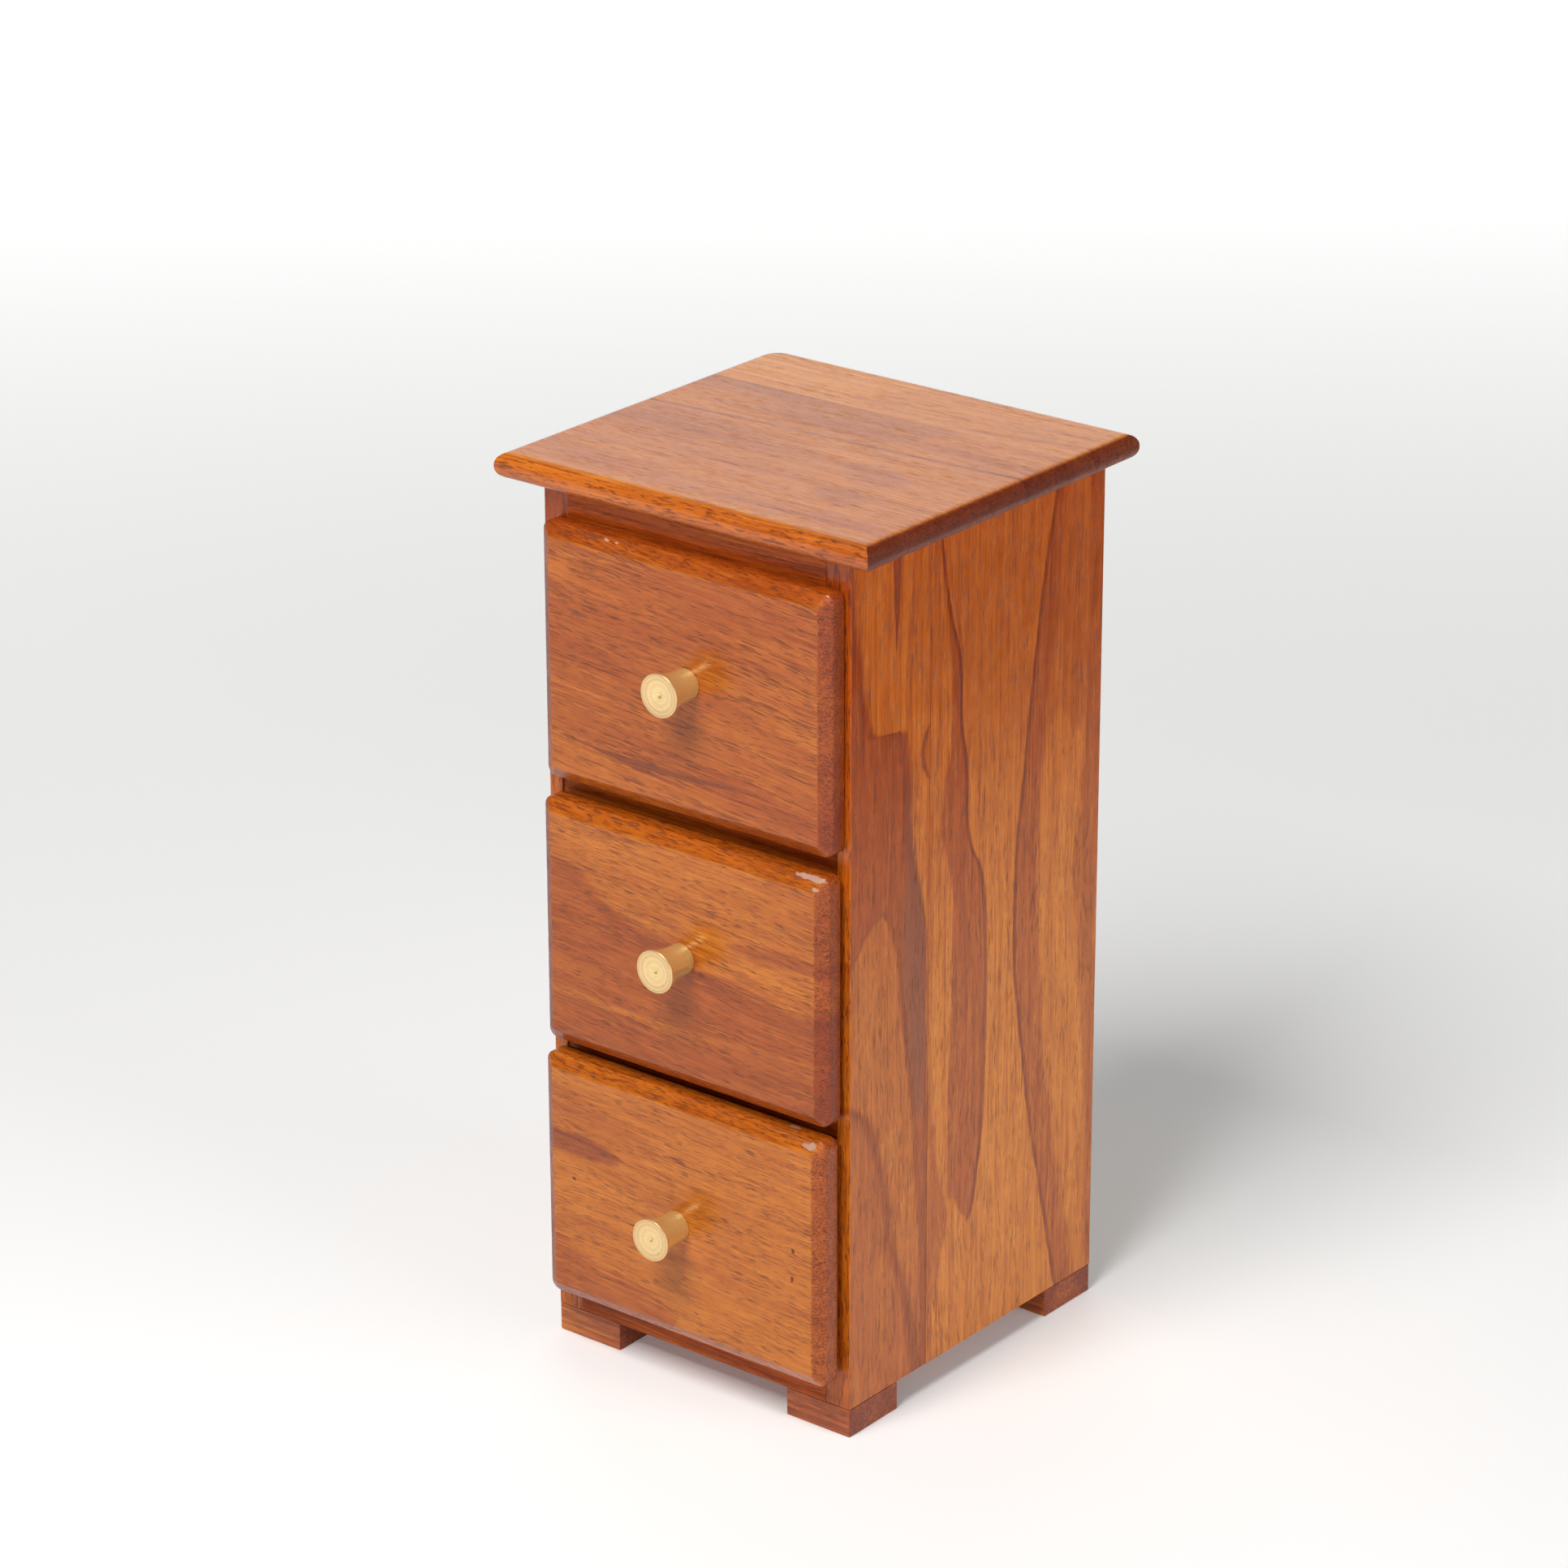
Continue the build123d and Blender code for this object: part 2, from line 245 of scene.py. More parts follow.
def face_colour(graph, board, grain, heart, variety, figure):
    """Pale and heart wood in streaks along the grain, with the board's drawn figure."""
    tone = graph.sway(grain.medium, 1.5 * variety, 0.5)
    tone = graph.sway(grain.lines, 2.2 * variety, tone)
    tone = graph.sway(grain.fine, 1.1, tone)
    tone = graph.sway(grain.mottle, 0.5, tone)
    amount = graph.sway(grain.broad, 3.0 * variety, heart)
    amount = graph.sway(grain.medium, 1.6 * variety, amount)
    dusk = 0.0
    for part in figure:
        mask, rim = band(graph, board, grain, part)
        wanted = graph.sway(grain.lines, part["streaks"], part["heart"])
        amount = graph.lerp(graph.math("MULTIPLY", mask, part["strength"]), amount, wanted)
        tone = graph.math("SUBTRACT", tone, rim)
        if part["dusk"]:
            dusk = graph.math("MAXIMUM", graph.math("MULTIPLY", mask, part["dusk"]), dusk)
    pale = graph.ramp(tone, SHADE_PLACES, PALE)
    dark = graph.ramp(tone, SHADE_PLACES, HEART)
    return graph.mix(dusk, graph.mix(graph.smooth(amount, 0.0, 1.0), pale, dark), DUSK)


def worked_edges(graph, board, colour, end_tint):
    """Darker, rubbed wood on the board's edges and bevels, and speckled end grain."""
    rubbed = graph.tinted(colour, EDGE_TINT)
    coarse = graph.noise(board.stretched(3.5, 0.5, 27.0), detail=2.0, roughness=0.6)
    rubbed = graph.mix(graph.smooth(coarse, 0.52, 0.66, 0.0, 0.75), rubbed, PORE)
    colour = graph.mix(board.off_face(), colour, rubbed)
    speckle = graph.noise(graph.vector(board.along, board.across, board.through), detail=4.0, roughness=0.8)
    ends = graph.mix(graph.smooth(speckle, 0.50, 0.66, 0.0, 0.6), colour, PORE)
    return graph.mix(board.end_grain(), colour, graph.tinted(ends, end_tint))


def grain_relief(graph, board, grain):
    """Pores sunk in the lacquer, and the slow swell of a hand-sanded board."""
    height = graph.math("MULTIPLY_ADD", grain.pit, -1.0, graph.math("MULTIPLY", grain.fine, 0.3))
    bump = graph.add("Bump", {"Height": height, "Strength": 0.18, "Distance": 0.06 * MM})
    swell = graph.noise(board.stretched(22.0, 9.0, 21.0), detail=1.0)
    inputs = {"Height": swell, "Strength": 0.12, "Distance": 0.5 * MM, "Normal": bump.outputs[0]}
    return graph.add("Bump", inputs).outputs[0]


def spot(graph, board, centre, radii):
    """Mask of a small ragged patch about a point (along, across, through)."""
    total = 0.0
    for place, middle, radius in zip((board.along, board.level, board.through), centre, radii):
        offset = graph.math("DIVIDE", graph.math("SUBTRACT", place, middle), radius)
        total = graph.math("ADD", graph.math("MULTIPLY", offset, offset), total)
    grit = graph.noise(graph.vector(board.along, board.level, board.through), detail=3.0, roughness=0.7)
    return graph.smooth(graph.sway(grit, 2.4, graph.math("SQRT", total)), 0.85, 1.1, 1.0, 0.0)


def wood(name, board_plan, seed, heart=0.35, variety=1.0, tilt=0.0, figure=(), spots=(), pores=1.0,
         tint=(1.0, 1.0, 1.0), end_tint=END_TINT, painted_shade=None, gloss=0.24, shine=0.5):
    """Lacquered open-grained wood.

    board_plan names the axes along the grain and across the face, and seed sets the board's own noise.
    heart is how much red-brown heartwood the board shows, 0 to 1, and variety how far it strays from that.
    tilt slants the grain, figure is the board's drawn stretches and spots its chips and knots.
    Two heights may be given between which the colour grows darker and redder upwards: painted shade, standing
    for the slab's shadow high on the sides.
    gloss is the lacquer's roughness and shine its specular level.
    """
    graph = Graph(name)
    board = Board(graph, *board_plan, seed, tilt)
    grain = Grain(graph, board)
    colour = face_colour(graph, board, grain, heart, variety, figure)
    colour = graph.tinted(colour, tint)
    # Painted shade: the colour grows darker and redder towards the top of the board, standing for the slab's
    # shadow on the sides.
    if painted_shade:
        colour = graph.mix(graph.smooth(board.along, *painted_shade), colour, graph.tinted(colour, PAINTED_SHADE_TINT))
    colour = graph.mix(graph.math("MULTIPLY", grain.pit, 0.55 * pores), colour, PORE)
    colour = worked_edges(graph, board, colour, end_tint)
    roughness = graph.smooth(grain.mottle, 0.2, 0.8, gloss - 0.04, gloss + 0.05)
    roughness = graph.math("MULTIPLY_ADD", grain.pit, 0.2, roughness)
    roughness = graph.math("MULTIPLY_ADD", board.end_grain(), 0.16, roughness)
    for mark in spots:
        mask = spot(graph, board, mark["centre"], mark["radii"])
        colour = graph.mix(mask, colour, (*mark["colour"], 1.0))
        roughness = graph.lerp(mask, roughness, MARK_ROUGHNESS)
    inputs = {"Base Color": colour, "Roughness": roughness, "Normal": grain_relief(graph, board, grain)}
    return graph.surface({**inputs, "IOR": 1.5, "Specular IOR Level": shine})


def bare_wood(name, board_plan, seed):
    """Sanded, unlacquered wood."""
    graph = Graph(name)
    board = Board(graph, *board_plan, seed)
    medium = graph.noise(board.stretched(60.0, 3.0), detail=3.0)
    fine = graph.noise(board.stretched(12.0, 0.35, 4.0), detail=2.0)
    colour = graph.ramp(graph.sway(fine, 0.5, medium), (0.25, 0.5, 0.75), BOX_WOOD)
    pore = graph.noise(board.stretched(2.2, 0.2, 8.0), detail=1.0)
    pit = graph.smooth(pore, 0.62, 0.7)
    colour = graph.mix(graph.math("MULTIPLY", pit, 0.5), colour, BOX_PORE)
    colour = graph.mix(graph.math("MULTIPLY", board.end_grain(), 0.5), colour, BOX_END)
    height = graph.math("MULTIPLY_ADD", pit, -1.0, graph.math("MULTIPLY", fine, 0.5))
    bump = graph.add("Bump", {"Height": height, "Strength": 0.5, "Distance": 0.08 * MM})
    roughness = graph.smooth(fine, 0.2, 0.8, 0.62, 0.78)
    return graph.surface({"Base Color": colour, "Roughness": roughness, "Normal": bump.outputs[0]})


# ---------------------------------------------------------------- metal

FACE_BRASS = ((0.68, 0.45, 0.21), (0.85, 0.60, 0.31), (0.93, 0.71, 0.41))
STEM_BRASS = (0.80, 0.62, 0.22, 1.0)
FACE_METALLIC, STEM_METALLIC = 0.72, 0.60
STEM_ROUGHNESS = 0.20
STEM_BLEND = 1.0            # millimetres from a knob's rim to where its stem looks like stem
STEEL = ((0.42, 0.41, 0.39), (0.66, 0.65, 0.62))


def brass():
    """Lathe-turned brass: fine rings about the knob's axis, which is the object's own Y axis.

    The stem is yellower, smoother and less metallic than the face.
    """
    graph = Graph("turned_brass")
    place = graph.add("TexCoord").outputs["Object"]
    x, y, z = graph.add("SeparateXYZ", {0: place}).outputs
    radius = graph.math("SQRT", graph.math("ADD", graph.math("POWER", x, 2.0), graph.math("POWER", z, 2.0)))
    radius = graph.math("MULTIPLY", radius, 1000.0)
    length = graph.math("MULTIPLY", y, 1000.0)
    rings = graph.vector(graph.math("MULTIPLY", radius, 6.0), graph.math("MULTIPLY", length, 6.0), 0.0)
    groove = graph.noise(rings, detail=3.0, roughness=0.6)
    wide = graph.noise(graph.vector(radius, length, 0.0), detail=1.0)
    smear = graph.noise(graph.scaled(place, 260.0), detail=3.0)
    tone = graph.sway(smear, 0.2, graph.sway(groove, 0.6, wide))
    low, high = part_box(DRAWERS[0] + "_knob")
    rim = (low.y - high.y) / MM
    stem = graph.smooth(length, rim, rim + STEM_BLEND)
    colour = graph.ramp(tone, (0.25, 0.5, 0.75), FACE_BRASS)
    colour = graph.mix(graph.math("MULTIPLY", stem, 0.8), colour, STEM_BRASS)
    height = graph.math("MULTIPLY", groove, graph.smooth(stem, 0.0, 1.0, 1.0, 0.25))
    bump = graph.add("Bump", {"Height": height, "Strength": 0.4, "Distance": 0.03 * MM})
    roughness = graph.lerp(stem, graph.smooth(smear, 0.3, 0.7, 0.27, 0.35), STEM_ROUGHNESS)
    metal = graph.smooth(stem, 0.0, 1.0, FACE_METALLIC, STEM_METALLIC)
    inputs = {"Base Color": colour, "Metallic": metal, "Roughness": roughness, "Normal": bump.outputs[0]}
    return graph.surface(inputs)


def steel():
    """Plain bright steel of screws and pins."""
    graph = Graph("fixing_steel")
    scratch = graph.noise(graph.scaled(graph.add("TexCoord").outputs["Object"], 2500.0), detail=3.0)
    colour = graph.ramp(scratch, (0.3, 0.7), STEEL)
    bump = graph.add("Bump", {"Height": scratch, "Strength": 0.3, "Distance": 0.02 * MM})
    roughness = graph.smooth(scratch, 0.3, 0.7, 0.28, 0.42)
    inputs = {"Base Color": colour, "Metallic": 1.0, "Roughness": roughness, "Normal": bump.outputs[0]}
    return graph.surface(inputs)


# ---------------------------------------------------------------- pieces

def dress(name, material):
    """Give a CAD node its material."""
    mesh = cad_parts[name].data
    mesh.materials.clear()
    mesh.materials.append(material)


def soften(name, width):
    """Break a CAD board's sharp arrises with a small round."""
    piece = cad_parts[name]
    weld = piece.modifiers.new("weld", "WELD")
    weld.merge_threshold = 1e-6
    flat = piece.modifiers.new("flat", "DECIMATE")
    flat.decimate_type = "DISSOLVE"
    flat.angle_limit = math.radians(1)
    bevel = piece.modifiers.new("arris", "BEVEL")
    bevel.width = width * MM
    bevel.segments = 3
    bevel.angle_limit = math.radians(40)
    bevel.harden_normals = True


def mesh_from_rings(name, rings, closed):
    """A piece skinned over rings of points in millimetres; closed joins the last ring to the first."""
    count = len(rings[0])
    vertices = [point * MM for ring in rings for point in ring]
    pairs = len(rings) if closed else len(rings) - 1
    faces = []
    for pair in range(pairs):
        low = pair * count
        high = (pair + 1) % len(rings) * count
        for index in range(count):
            after = (index + 1) % count
            faces.append((low + index, low + after, high + after, high + index))
    mesh = bpy.data.meshes.new(name)
    mesh.from_pydata(vertices, [], faces)
    mesh.shade_smooth()
    mesh.set_sharp_from_angle(angle=math.radians(40))
    piece = bpy.data.objects.new(name, mesh)
    bpy.context.scene.collection.objects.link(piece)
    return piece


FRONT_EDGE = 4.0            # straight part of a drawer front's edge
BEVEL_INSET = 3.0
FRONT_CORNER = 2.4          # corner radius of a front's outline
FACE_CORNER = 0.5           # corner radius of its face, inside the bevels
BACK_ARRIS = 0.28
SANDING = (0.06, 0.38)      # how far hand sanding strays at a front's outline, and at its face's edge
SCREW_HOLE_RADIUS = 1.6
CORNER_STEPS = 12
EDGE_STEPS = 48


def rounded_ring(width, height, inset, radius, y):
    """Points of a rounded rectangle, set in from a front's outline, from its lower right corner round."""
    half_x, half_z = width / 2 - inset, height / 2 - inset
    centres = [(half_x - radius, -half_z + radius), (half_x - radius, half_z - radius)]
    centres += [(-half_x + radius, half_z - radius), (-half_x + radius, -half_z + radius)]

    def on_arc(turn, degrees):
        x, z = centres[turn % 4]
        angle = math.radians(degrees)
        return Vector((x + radius * math.cos(angle), y, z + radius * math.sin(angle)))

    points = []
    for turn in range(4):
        points += [on_arc(turn, 90 * (turn - 1 + step / CORNER_STEPS)) for step in range(CORNER_STEPS + 1)]
        corner, following = points[-1], on_arc(turn + 1, 90 * turn)
        points += [corner.lerp(following, step / EDGE_STEPS) for step in range(1, EDGE_STEPS)]
    return points


def uneven(point, inset, seed):
    """A point of a front moved inwards by the unevenness of hand sanding, most at the bevel's inner line."""
    if inset > BEVEL_INSET + 1:
        return point
    outer, inner = SANDING
    share = outer + (inner - outer) * min(inset / BEVEL_INSET, 1)
    wave = noise.noise(Vector((point.x / 7 + seed, point.z / 7, inset / 9)))
    inward = Vector((-point.x, 0, -point.z)).normalized()
    return point + inward * (abs(wave) * share)


def front_profile(thickness):
    """(inset, y) points from a front's back arris round its edge and up its bevel to the face."""
    slope = (thickness - FRONT_EDGE) / BEVEL_INSET
    back_arris = [(BACK_ARRIS, 0.0), (0.08, -0.08), (0.0, -BACK_ARRIS)]
    edge = [(0.0, -FRONT_EDGE + BACK_ARRIS), (0.03, -FRONT_EDGE + 0.06), (0.16, -FRONT_EDGE - 0.10)]
    bevel = [(0.45, -FRONT_EDGE - 0.45 * slope), (BEVEL_INSET - 0.4, -thickness + 0.4 * slope)]
    face = [(BEVEL_INSET - 0.12, -thickness + 0.11), (BEVEL_INSET + 0.12, -thickness + 0.02)]
    face += [(BEVEL_INSET + 0.45, -thickness), (BEVEL_INSET + 2.5, -thickness)]
    return back_arris + edge + bevel + face


def screw_hole_ring(ring, middle, y):
    """A ring about the knob's axis with a point towards each point of another ring."""
    spokes = (Vector((point.x - middle.x, 0, point.z - middle.z)).normalized() for point in ring)
    return [middle + spoke * SCREW_HOLE_RADIUS + Vector((0, y, 0)) for spoke in spokes]


def drawer_front(name, material):
    """A bevelled front with soft, slightly uneven arrises, in place of the CAD one."""
    node = name + "_front"
    low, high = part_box(node)
    knob_low, knob_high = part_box(name + "_knob")
    centre = (low + high) / 2
    width, thickness, height = (high - low) / MM
    knob_axis = ((knob_low + knob_high) / 2 - centre) / MM
    seed = len(node) * 3.1
    rings = []
    for inset, y in front_profile(thickness):
        radius = FRONT_CORNER + (FACE_CORNER - FRONT_CORNER) * min(inset / BEVEL_INSET, 1)
        ring = rounded_ring(width, height, inset, radius, y)
        rings.append([uneven(point, inset, seed) for point in ring])
    middle = Vector((knob_axis.x, 0, knob_axis.z))
    face_hole = screw_hole_ring(rings[-1], middle, -thickness)
    back_hole = screw_hole_ring(rings[0], middle, 0.0)
    place = Vector((centre.x, high.y, centre.z)) / MM
    rings = [[point + place for point in ring] for ring in rings + [face_hole, back_hole]]
    piece = mesh_from_rings(name + "_front_board", rings, closed=True)
    piece.data.materials.append(material)
    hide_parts(node)
    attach(piece, name)


KNOB_BASE_RADIUS = 3.75
KNOB_BASE_ROUND = 0.1
KNOB_COLLAR = 1.5
KNOB_RIM = 0.4
KNOB_DISH = 0.4
KNOB_DIMPLE = (0.9, 0.35)   # radius and depth
KNOB_HOLE = (1.5, 6.4)      # radius and depth
STEM_GROOVE = 0.012         # depth of the turning marks on the stem, nearest the wood
FACE_GROOVE = 0.018         # and on the face
STEM_STEPS = 40
FACE_STEPS = 26
KNOB_SEGMENTS = 128
ALMOST_ZERO = 0.001


def stem_points(length, head):
    """(radius, distance) points of a knob's concave flare, an arc that leaves the collar straight."""
    rise = head - KNOB_BASE_RADIUS
    run = length - KNOB_RIM - KNOB_COLLAR
    sweep = (rise * rise + run * run) / (2 * rise)
    points = []
    for step in range(1, STEM_STEPS + 1):
        share = step / STEM_STEPS
        along = run * share
        flare = sweep - math.sqrt(sweep * sweep - along * along)
        groove = STEM_GROOVE * abs(math.sin(step * 2.4)) * (1 - share)
        points.append((KNOB_BASE_RADIUS + flare - groove, KNOB_COLLAR + along))
    return points


def face_points(length, head):
    """(radius, distance) points of a knob's dished face, from just inside its rim to the dimple."""
    dimple_radius, dimple_depth = KNOB_DIMPLE
    start = head - 0.4
    points = []
    for step in range(1, FACE_STEPS + 1):
        share = step / FACE_STEPS
        ridge = FACE_GROOVE * (1 + math.sin(step * 2.1))
        radius = start * (1 - share) + dimple_radius * share
        points.append((radius, length - 0.02 - KNOB_DISH * share - ridge))
    points.append((dimple_radius * 0.6, length - KNOB_DISH - dimple_depth * 0.5))
    points.append((ALMOST_ZERO, length - KNOB_DISH - dimple_depth))
    return points


def knob_profile(length, head):
    """(radius, distance from the wood) points of a knob, from its hole's end round to its face."""
    hole_radius, hole_depth = KNOB_HOLE
    hole = [(ALMOST_ZERO, hole_depth), (hole_radius, hole_depth), (hole_radius, 0.0)]
    base = [(KNOB_BASE_RADIUS - KNOB_BASE_ROUND, 0.0), (KNOB_BASE_RADIUS, KNOB_BASE_ROUND)]
    collar = [(KNOB_BASE_RADIUS, KNOB_COLLAR)]
    rim = [(head, length - 0.12), (head - 0.07, length - 0.03), (head - 0.2, length)]
    rim.append((head - 0.4, length - 0.02))
    return hole + base + collar + stem_points(length, head) + rim + face_points(length, head)


def knob(name, material):
    """A turned knob, in place of the CAD one, with real turning marks on its stem and its dished face."""
    node = name + "_knob"
    low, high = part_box(node)
    head = (high.x - low.x) / 2 / MM
    length = (high.y - low.y) / MM
    angles = [math.tau * step / KNOB_SEGMENTS for step in range(KNOB_SEGMENTS)]
    rings = [
        [Vector((radius * math.cos(angle), -distance, radius * math.sin(angle))) for angle in angles]
        for radius, distance in knob_profile(length, head)
    ]
    piece = mesh_from_rings(node + "_turned", rings, closed=False)
    piece.location = ((low.x + high.x) / 2, high.y, (low.z + high.z) / 2)
    piece.data.materials.append(material)
    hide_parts(node)
    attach(piece, name)


# ---------------------------------------------------------------- figure of the boards

def stretch(limits, left, right, soft=(1.0, 1.0), heart=1.0, strength=0.85, rim=(0.0, 0.0), streaks=1.4,
            dusk=0.0):
    """One drawn stretch of figure between two lines of (along, across) points.

    limits are the lowest and highest places that its lines may take, along and across the grain.
    heart is what it turns the wood to, from 0, pale, to 1, red-brown, and strength is how far it does so.
    soft is how blurred its two edges are, rim how dark the line inside each is, streaks how much it varies,
    and dusk how grey-purple it is.
    """
    shape = {"limits": limits, "edges": (left, right), "soft": soft, "rim": rim}
    return {**shape, "heart": heart, "strength": strength, "streaks": streaks, "dusk": dusk}


def vein(limits, points, **look):
    """A narrow stretch along (along, across, width) points; a width below nothing closes its end."""
    left = [(along, across - width / 2) for along, across, width in points]
    right = [(along, across + width / 2) for along, across, width in points]
    return stretch(limits, left, right, **look)


SIDE_FRONT = ((7.0, 216.0), (-40.0, -8.0))
SIDE_REAR = ((7.0, 216.0), (-12.0, 58.0))
FULL_FRONT = ([(7, -39.9), (216, -39.9)], [(7, -8.1), (216, -8.1)])
FULL_REAR = ([(7, -11.9), (216, -11.9)], [(7, 57.9), (216, 57.9)])


def side_front_figure():
    """Red-brown heart that licks up the front edge of a side, over a paler arch low down."""
    lick = [(7, -8.1), (76, -8.5), (95, -10), (117, -10), (123, -11.5), (135, -14), (140, -15.8),
            (159, -16.5), (167, -17.7), (170, -20), (171, -27), (174, -30.8), (184, -33.4), (208, -37.1),
            (216, -38)]
    arch_left = [(7, -39.9), (117, -39.9), (121, -36.5), (125, -33.4), (127.4, -28.3), (129, -25)]
    arch_right = [(7, -10.3), (36, -10.5), (60, -12.5), (78, -14.6), (90, -16.5), (103, -18.4),
                  (117, -20.2), (125.5, -23.3), (127.4, -25), (129, -27)]
    tongue = [(7, -12), (20, -14), (32, -17), (40, -20), (47, -22.1), (59, -24.6), (68, -27.1),
              (78, -30.9), (84, -38), (86, -39.9)]
    smoke_left = [(72, -12.5), (78, -14.6), (90, -16.5), (103, -18.3), (116, -19.5), (135, -18),
                  (153, -18), (160, -16.9)]
    smoke_right = [(72, -14), (78, -11.2), (90, -10.4), (103, -10.4), (116, -10.8), (128, -12.5),
                   (140, -15.3), (153, -16.5), (160, -17.5)]
    flame = [(188.5, -22, -0.8), (192, -22.1, 0.8), (199, -21.9, 1.4), (206, -21.8, 2.4), (216, -21.8, 3.4)]
    front_edge = [(7, -38.9, 1.4), (216, -38.9, 1.4)]
    lens = [(155, -9), (158, -11.5), (162, -12.5), (166, -11.5), (169, -9)]
    return [
        stretch(SIDE_FRONT, *FULL_FRONT, heart=0.10, strength=0.8, streaks=1.0),
        stretch(SIDE_FRONT, FULL_FRONT[0], lick, soft=(1, 3.4), heart=0.95, rim=(0, 0.25), streaks=1.4),
        stretch(SIDE_FRONT, arch_left, arch_right, soft=(1.6, 1.6), heart=0.42, rim=(0.5, 0.5), streaks=0.9),
        stretch(SIDE_FRONT, FULL_FRONT[0], tongue, soft=(1, 3.2), heart=0.68, strength=0.8, rim=(0, 0.5)),
        stretch(SIDE_FRONT, smoke_left, smoke_right, soft=(3, 2.0), heart=1.0, dusk=0.75),
        vein(SIDE_FRONT, flame, soft=(0.8, 0.8), rim=(0.3, 0.3)),
        stretch(SIDE_FRONT, lens, FULL_FRONT[1], soft=(0.6, 1), heart=0.5, rim=(1.2, 0)),
        vein(SIDE_FRONT, front_edge, soft=(0.2, 0.2), heart=0.1, strength=0.9),
    ]


def side_rear_figure():
    """Two red-brown stretches of heart either side of a pale waist, and streaks beside the glue line.

    The board blushes a little between them near its top.
    """
    beside_seam = [(7, -6), (34, -7), (43, -3), (50, -5), (78, -8), (110, -7.5), (128, -6), (150, -5.5),
                   (180, -5.3), (216, -6.5)]
    gold = [(96, -7, -0.8), (110, -6.7, 2.0), (150, -7.3, 2.2), (175, -7.6, 1.6), (186, -7.6, -0.8)]
    inner_left = [(38, 6.6), (40, 5), (43, 3), (46, 1.4), (47.5, -1.4), (60, -1.6), (90, -1), (115, -0.3),
                  (128, -1), (140, -4.9), (148, -4.8), (163, -1), (174, -1), (190, -2.9), (203, -5),
                  (216, -6)]
    inner_right = [(38, 6.0), (39.3, 7), (40.5, 8.2), (48, 9.8), (59, 11.7), (78, 12.7), (103, 13),
                   (120, 12), (127, 10.7), (133, 7.3), (140, 5.5), (155, 4.8), (165, 2.9), (179, 2.3),
                   (194, -1.9), (208, -4.6), (216, -5.4)]
    ghost = [(174, 3.4, -0.6), (182, 2.4, 0.9), (190, 0.8, 1.2), (200, -1.6, 1.0), (216, -3.4, 0.8)]
    low_corner = [(7, -9.5), (10.5, -9), (22, -6.5), (34, -3.4), (43, -1), (46, -2), (60, -6), (78, -9),
                  (85, -11.9)]
    outer_left = [(7, 42), (24, 37.9), (40, 34.1), (55, 30.4), (69, 27.9), (84, 25.4), (97, 23.5),
                  (109, 23.1), (125, 23.8), (140, 25.4), (158, 27.9), (175, 30.4), (193, 33.5), (210, 37.3),
                  (216, 38.5)]
    outer_right = [(7, 50), (28, 45.4), (43, 41.6), (65, 37.9), (80, 35.4), (97, 33.5), (115, 32.9),
                   (134, 32.9), (155, 34.8), (168, 36.6), (185, 39), (200, 41), (216, 43)]
    crown_left = [(148, 47), (152, 44), (165, 38.5), (172, 37.5), (185, 38.5), (200, 41), (216, 43)]
    crown_right = [(148, 45), (155, 50.5), (170, 51), (216, 52)]
    blush_left = [(150, 20), (165, 4), (190, -2), (216, -6)]
    blush_right = [(150, 19), (165, 28), (190, 33), (216, 38)]
    far_edge = [(7, 54.5), (30, 53.5), (65, 51.6), (90, 49.1), (115, 47.9), (155, 51), (180, 51.5), (216, 51)]
    return [
        stretch(SIDE_REAR, *FULL_REAR, heart=0.08, strength=0.8, streaks=1.0),
        stretch(SIDE_REAR, FULL_REAR[0], beside_seam, soft=(1, 2), heart=0.55, strength=0.7, streaks=2.4),
        vein(SIDE_REAR, gold, soft=(1, 1), heart=0.0, strength=0.7),
        stretch(SIDE_REAR, blush_left, blush_right, soft=(7, 7), heart=0.36, strength=0.75, streaks=1.0),
        stretch(SIDE_REAR, FULL_REAR[0], low_corner, soft=(1, 1.2), heart=0.7, strength=0.7, streaks=2.0),
        stretch(SIDE_REAR, inner_left, inner_right, soft=(1.8, 0.6), heart=0.88, rim=(0, 0.9), streaks=2.2),
        vein(SIDE_REAR, ghost, soft=(0.8, 0.8), heart=0.7, strength=0.7),
        stretch(SIDE_REAR, outer_left, outer_right, soft=(0.7, 4.0), heart=0.85, rim=(0.7, 0), streaks=2.4),
        stretch(SIDE_REAR, crown_left, crown_right, soft=(4, 4), heart=0.8, strength=0.45, streaks=2.5),
        stretch(SIDE_REAR, far_edge, FULL_REAR[1], soft=(2.2, 1), heart=0.8, strength=0.75, streaks=1.8),
    ]


SLAB = ((-54.0, 54.0), (-46.0, 57.0))


def slab_front_figure():
    """A dusky stretch beside the glue line and one thin dark line across the board."""
    dusky = [(-53.9, 25), (-30, 23), (-10, 17), (10, 16), (18, 24), (25, 33)]
    beyond = [(-53.9, 34), (18, 34), (25, 31), (53.9, 31)]
    line = [(-53.9, 7.2, 0.8), (-16, 9.8, 0.9), (16, 11.2, 0.7), (53.9, 13.8, 0.9)]
    patch = [(10, -2, -2), (18, -3, 6), (30, -6, 8), (36, -8, -2)]
    low_patch = [(18, -20, -2), (24, -20, 9), (30, -21, 10), (36, -22, -2)]
    return [
        stretch(SLAB, dusky, beyond, soft=(10, 1), heart=0.7, strength=0.45, dusk=0.12, streaks=3.0),
        vein(SLAB, line, soft=(0.6, 1.4), strength=0.6, rim=(0.5, 0.2), dusk=0.15),
        vein(SLAB, patch, soft=(4, 4), heart=0.7, strength=0.5, dusk=0.12),
        vein(SLAB, low_patch, soft=(4, 4), heart=0.7, strength=0.5, dusk=0.12),
    ]


